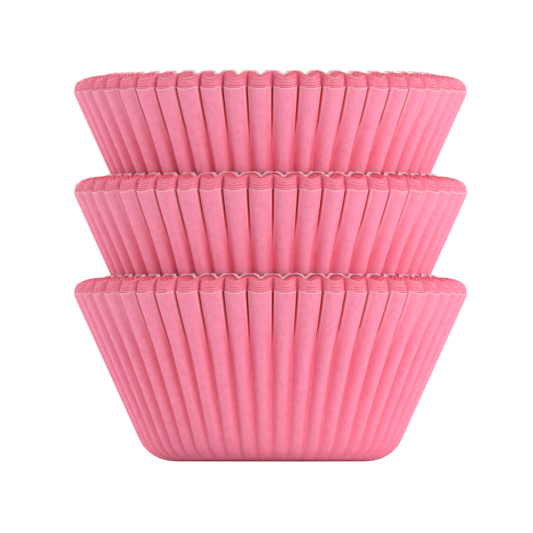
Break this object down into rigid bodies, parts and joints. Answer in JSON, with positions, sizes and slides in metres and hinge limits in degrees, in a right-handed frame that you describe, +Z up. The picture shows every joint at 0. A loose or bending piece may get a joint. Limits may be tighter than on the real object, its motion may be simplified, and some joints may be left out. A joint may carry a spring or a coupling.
{
  "type": "stack of cupcake liners",
  "caption": "Fluted paper baking cups for cupcakes, nested in bundles, each bundle standing in the mouth of the one below.",
  "frame": {"origin": "centre of the flat base of the outermost liner of the bottom bundle, on the surface the stack stands on", "axes": "+Z up along the common axis of the cups; +X and +Y across, each through a valley between two flutes; -Y faces the viewer of the picture"},
  "size_m": [0.083, 0.083, 0.0817],
  "materials": {
    "liner_paper": "matt dyed greaseproof paper, pink, pressed into flutes, cut edges a lighter pink"
  },
  "bodies": {
    "root": {"bottom_liner_01": "liner_paper", "bottom_liner_02": "liner_paper", "bottom_liner_03": "liner_paper", "bottom_liner_04": "liner_paper", "bottom_liner_05": "liner_paper", "bottom_liner_06": "liner_paper", "bottom_liner_07": "liner_paper", "bottom_liner_08": "liner_paper", "bottom_liner_09": "liner_paper", "bottom_liner_10": "liner_paper", "bottom_liner_11": "liner_paper", "bottom_liner_12": "liner_paper", "middle_liner_01": "liner_paper", "middle_liner_02": "liner_paper", "middle_liner_03": "liner_paper", "middle_liner_04": "liner_paper", "middle_liner_05": "liner_paper", "middle_liner_06": "liner_paper", "middle_liner_07": "liner_paper", "middle_liner_08": "liner_paper", "middle_liner_09": "liner_paper", "middle_liner_10": "liner_paper", "middle_liner_11": "liner_paper", "middle_liner_12": "liner_paper", "top_liner_01": "liner_paper", "top_liner_02": "liner_paper", "top_liner_03": "liner_paper", "top_liner_04": "liner_paper", "top_liner_05": "liner_paper", "top_liner_06": "liner_paper", "top_liner_07": "liner_paper", "top_liner_08": "liner_paper", "top_liner_09": "liner_paper", "top_liner_10": "liner_paper", "top_liner_11": "liner_paper", "top_liner_12": "liner_paper"}
  },
  "joints": []
}
